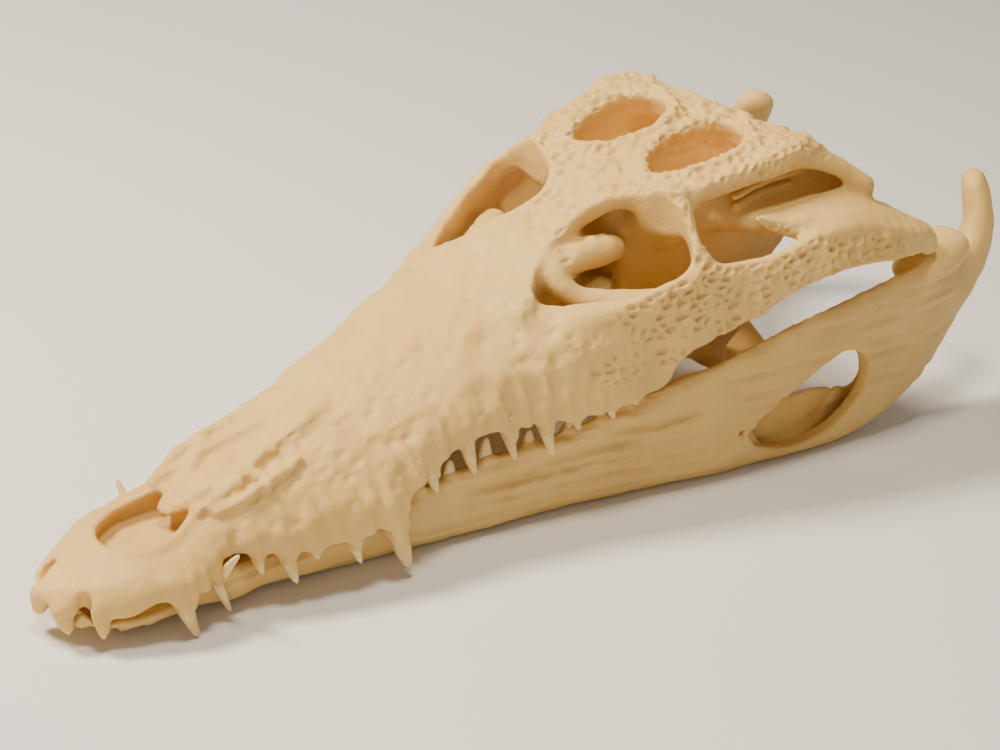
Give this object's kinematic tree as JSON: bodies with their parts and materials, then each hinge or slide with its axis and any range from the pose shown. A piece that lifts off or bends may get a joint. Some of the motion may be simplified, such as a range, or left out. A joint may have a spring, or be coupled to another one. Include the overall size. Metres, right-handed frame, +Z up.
{
  "type": "crocodile skull",
  "caption": "Long-snouted crocodile skull with its toothed lower jaw closed beneath it, resting on the underside of the jaw.",
  "frame": {"origin": "on the ground, under the middle of the skull and jaw", "axes": "+X runs back from the tip of the snout to the back of the jaw, +Y to the animal's right, +Z up"},
  "size_m": [0.3006, 0.116, 0.0875],
  "materials": {
    "bone": "satin"
  },
  "bodies": {
    "root": {"snout": "bone", "braincase": "bone", "palate": "bone", "cheek_left": "bone", "cheek_right": "bone", "jaw_left": "bone", "jaw_right": "bone"}
  },
  "joints": []
}
